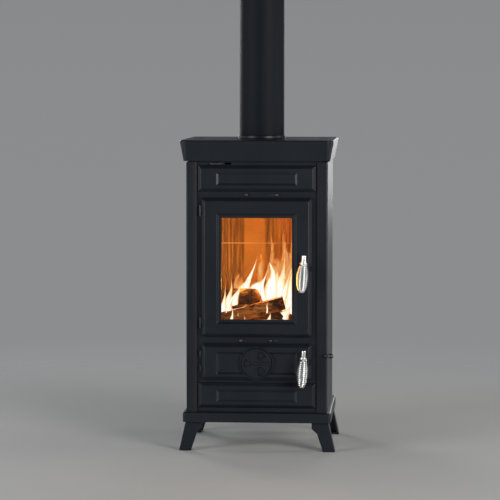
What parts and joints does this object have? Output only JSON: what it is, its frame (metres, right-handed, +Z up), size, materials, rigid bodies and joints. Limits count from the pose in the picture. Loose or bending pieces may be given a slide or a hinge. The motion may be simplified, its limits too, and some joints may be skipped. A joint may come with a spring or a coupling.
{
  "type": "wood stove",
  "caption": "Small free-standing wood stove with a glazed fire door, an ash door with an air rosette, coiled wire handles, splayed legs and a top flue pipe.",
  "frame": {"origin": "on the floor, at the middle of the stove's box in plan", "axes": "+Z up, the doors face -Y, +X to the right as seen from the front"},
  "size_m": [0.424, 0.4157, 1.3519],
  "materials": {
    "cast_paint": "fine-grained anthracite stove paint on cast iron",
    "sheet_paint": "satin anthracite stove paint on steel sheet",
    "pipe_enamel": "satin blue-black enamel",
    "chrome": "bright plated",
    "steel": "dark blackened steel",
    "raw_iron": "sooty bare iron",
    "vermiculite": "grainy pressed board",
    "rope_seal": "braided glass fibre",
    "ceramic_glass": "clear, faint amber"
  },
  "bodies": {
    "root": {"base_plinth": "cast_paint", "leg_front_left": "cast_paint", "leg_front_right": "cast_paint", "leg_rear_left": "cast_paint", "leg_rear_right": "cast_paint", "front_frame": "cast_paint", "lower_trim_panel": "cast_paint", "upper_trim_panel": "cast_paint", "top_plate": "cast_paint", "flue_collar": "cast_paint", "post_left": "sheet_paint", "post_right": "sheet_paint", "side_panel_left": "sheet_paint", "side_panel_right": "sheet_paint", "back_cover": "sheet_paint", "flue_pipe": "pipe_enamel", "fire_hinge_lower_pin": "steel", "fire_hinge_upper_pin": "steel", "ash_hinge_lower_pin": "steel", "ash_hinge_upper_pin": "steel", "fire_keeper": "steel", "ash_keeper": "steel", "firebox_shell": "raw_iron", "hearth_plate": "raw_iron", "log_guard": "raw_iron", "brick_back_lower": "vermiculite", "brick_back_upper": "vermiculite", "brick_left_lower": "vermiculite", "brick_left_upper": "vermiculite", "brick_right_lower": "vermiculite", "brick_right_upper": "vermiculite", "baffle_plate": "vermiculite"},
    "fire_door": {"fire_door": "cast_paint", "fire_glass": "ceramic_glass", "window_gasket": "rope_seal", "glass_retainer": "steel", "fire_door_rope": "rope_seal"},
    "fire_handle": {"fire_handle_core": "chrome", "fire_handle_coil": "chrome", "fire_latch_shaft": "steel"},
    "ash_door": {"ash_door": "cast_paint", "ash_door_rope": "rope_seal", "rosette_bolt": "steel"},
    "ash_handle": {"ash_handle_core": "chrome", "ash_handle_coil": "chrome", "ash_latch_shaft": "steel"},
    "rosette": {"air_rosette": "cast_paint"},
    "ash_pan": {"ash_pan": "steel"},
    "upper_air": {"upper_air_slide": "steel", "upper_air_stud_left": "steel", "upper_air_stud_right": "steel"},
    "lower_air": {"lower_air_slide": "steel", "lower_air_stud_left": "steel", "lower_air_stud_right": "steel"},
    "secondary_air": {"secondary_air_lever": "steel"},
    "riddling": {"riddling_rod": "steel", "riddling_knob": "steel", "shaker_grate": "raw_iron"}
  },
  "joints": [
    {"name": "fire_door_swing", "type": "hinge", "parent": "root", "child": "fire_door", "pos_m": [-0.1525, -0.157, 0.5], "axis": [0, 0, -1], "range_deg": [0, 110]},
    {"name": "ash_door_swing", "type": "hinge", "parent": "root", "child": "ash_door", "pos_m": [-0.1525, -0.157, 0.245], "axis": [0, 0, -1], "range_deg": [0, 110]},
    {"name": "fire_handle_turn", "type": "hinge", "parent": "fire_door", "child": "fire_handle", "pos_m": [0.129, -0.192, 0.5283], "axis": [0, -1, 0], "range_deg": [-60, 12]},
    {"name": "ash_handle_turn", "type": "hinge", "parent": "ash_door", "child": "ash_handle", "pos_m": [0.129, -0.192, 0.2723], "axis": [0, -1, 0], "range_deg": [-60, 12]},
    {"name": "rosette_turn", "type": "hinge", "parent": "ash_door", "child": "rosette", "pos_m": [0, -0.1665, 0.2425], "axis": [0, -1, 0], "range_deg": [0, 60]},
    {"name": "ash_pan_slide", "type": "slide", "parent": "root", "child": "ash_pan", "axis": [0, -1, 0], "range_m": [0, 0.125]},
    {"name": "upper_air_travel", "type": "slide", "parent": "root", "child": "upper_air", "axis": [-1, 0, 0], "range_m": [0, 0.018]},
    {"name": "lower_air_travel", "type": "slide", "parent": "root", "child": "lower_air", "axis": [1, 0, 0], "range_m": [0, 0.018]},
    {"name": "secondary_air_travel", "type": "slide", "parent": "root", "child": "secondary_air", "axis": [1, 0, 0], "range_m": [0, 0.03]},
    {"name": "riddling_travel", "type": "slide", "parent": "root", "child": "riddling", "axis": [0, -1, 0], "range_m": [0, 0.02]}
  ],
  "couplings": [
    {"joint": "ash_pan_slide", "follows": "ash_door_swing", "m_per_rad": 0.065}
  ]
}
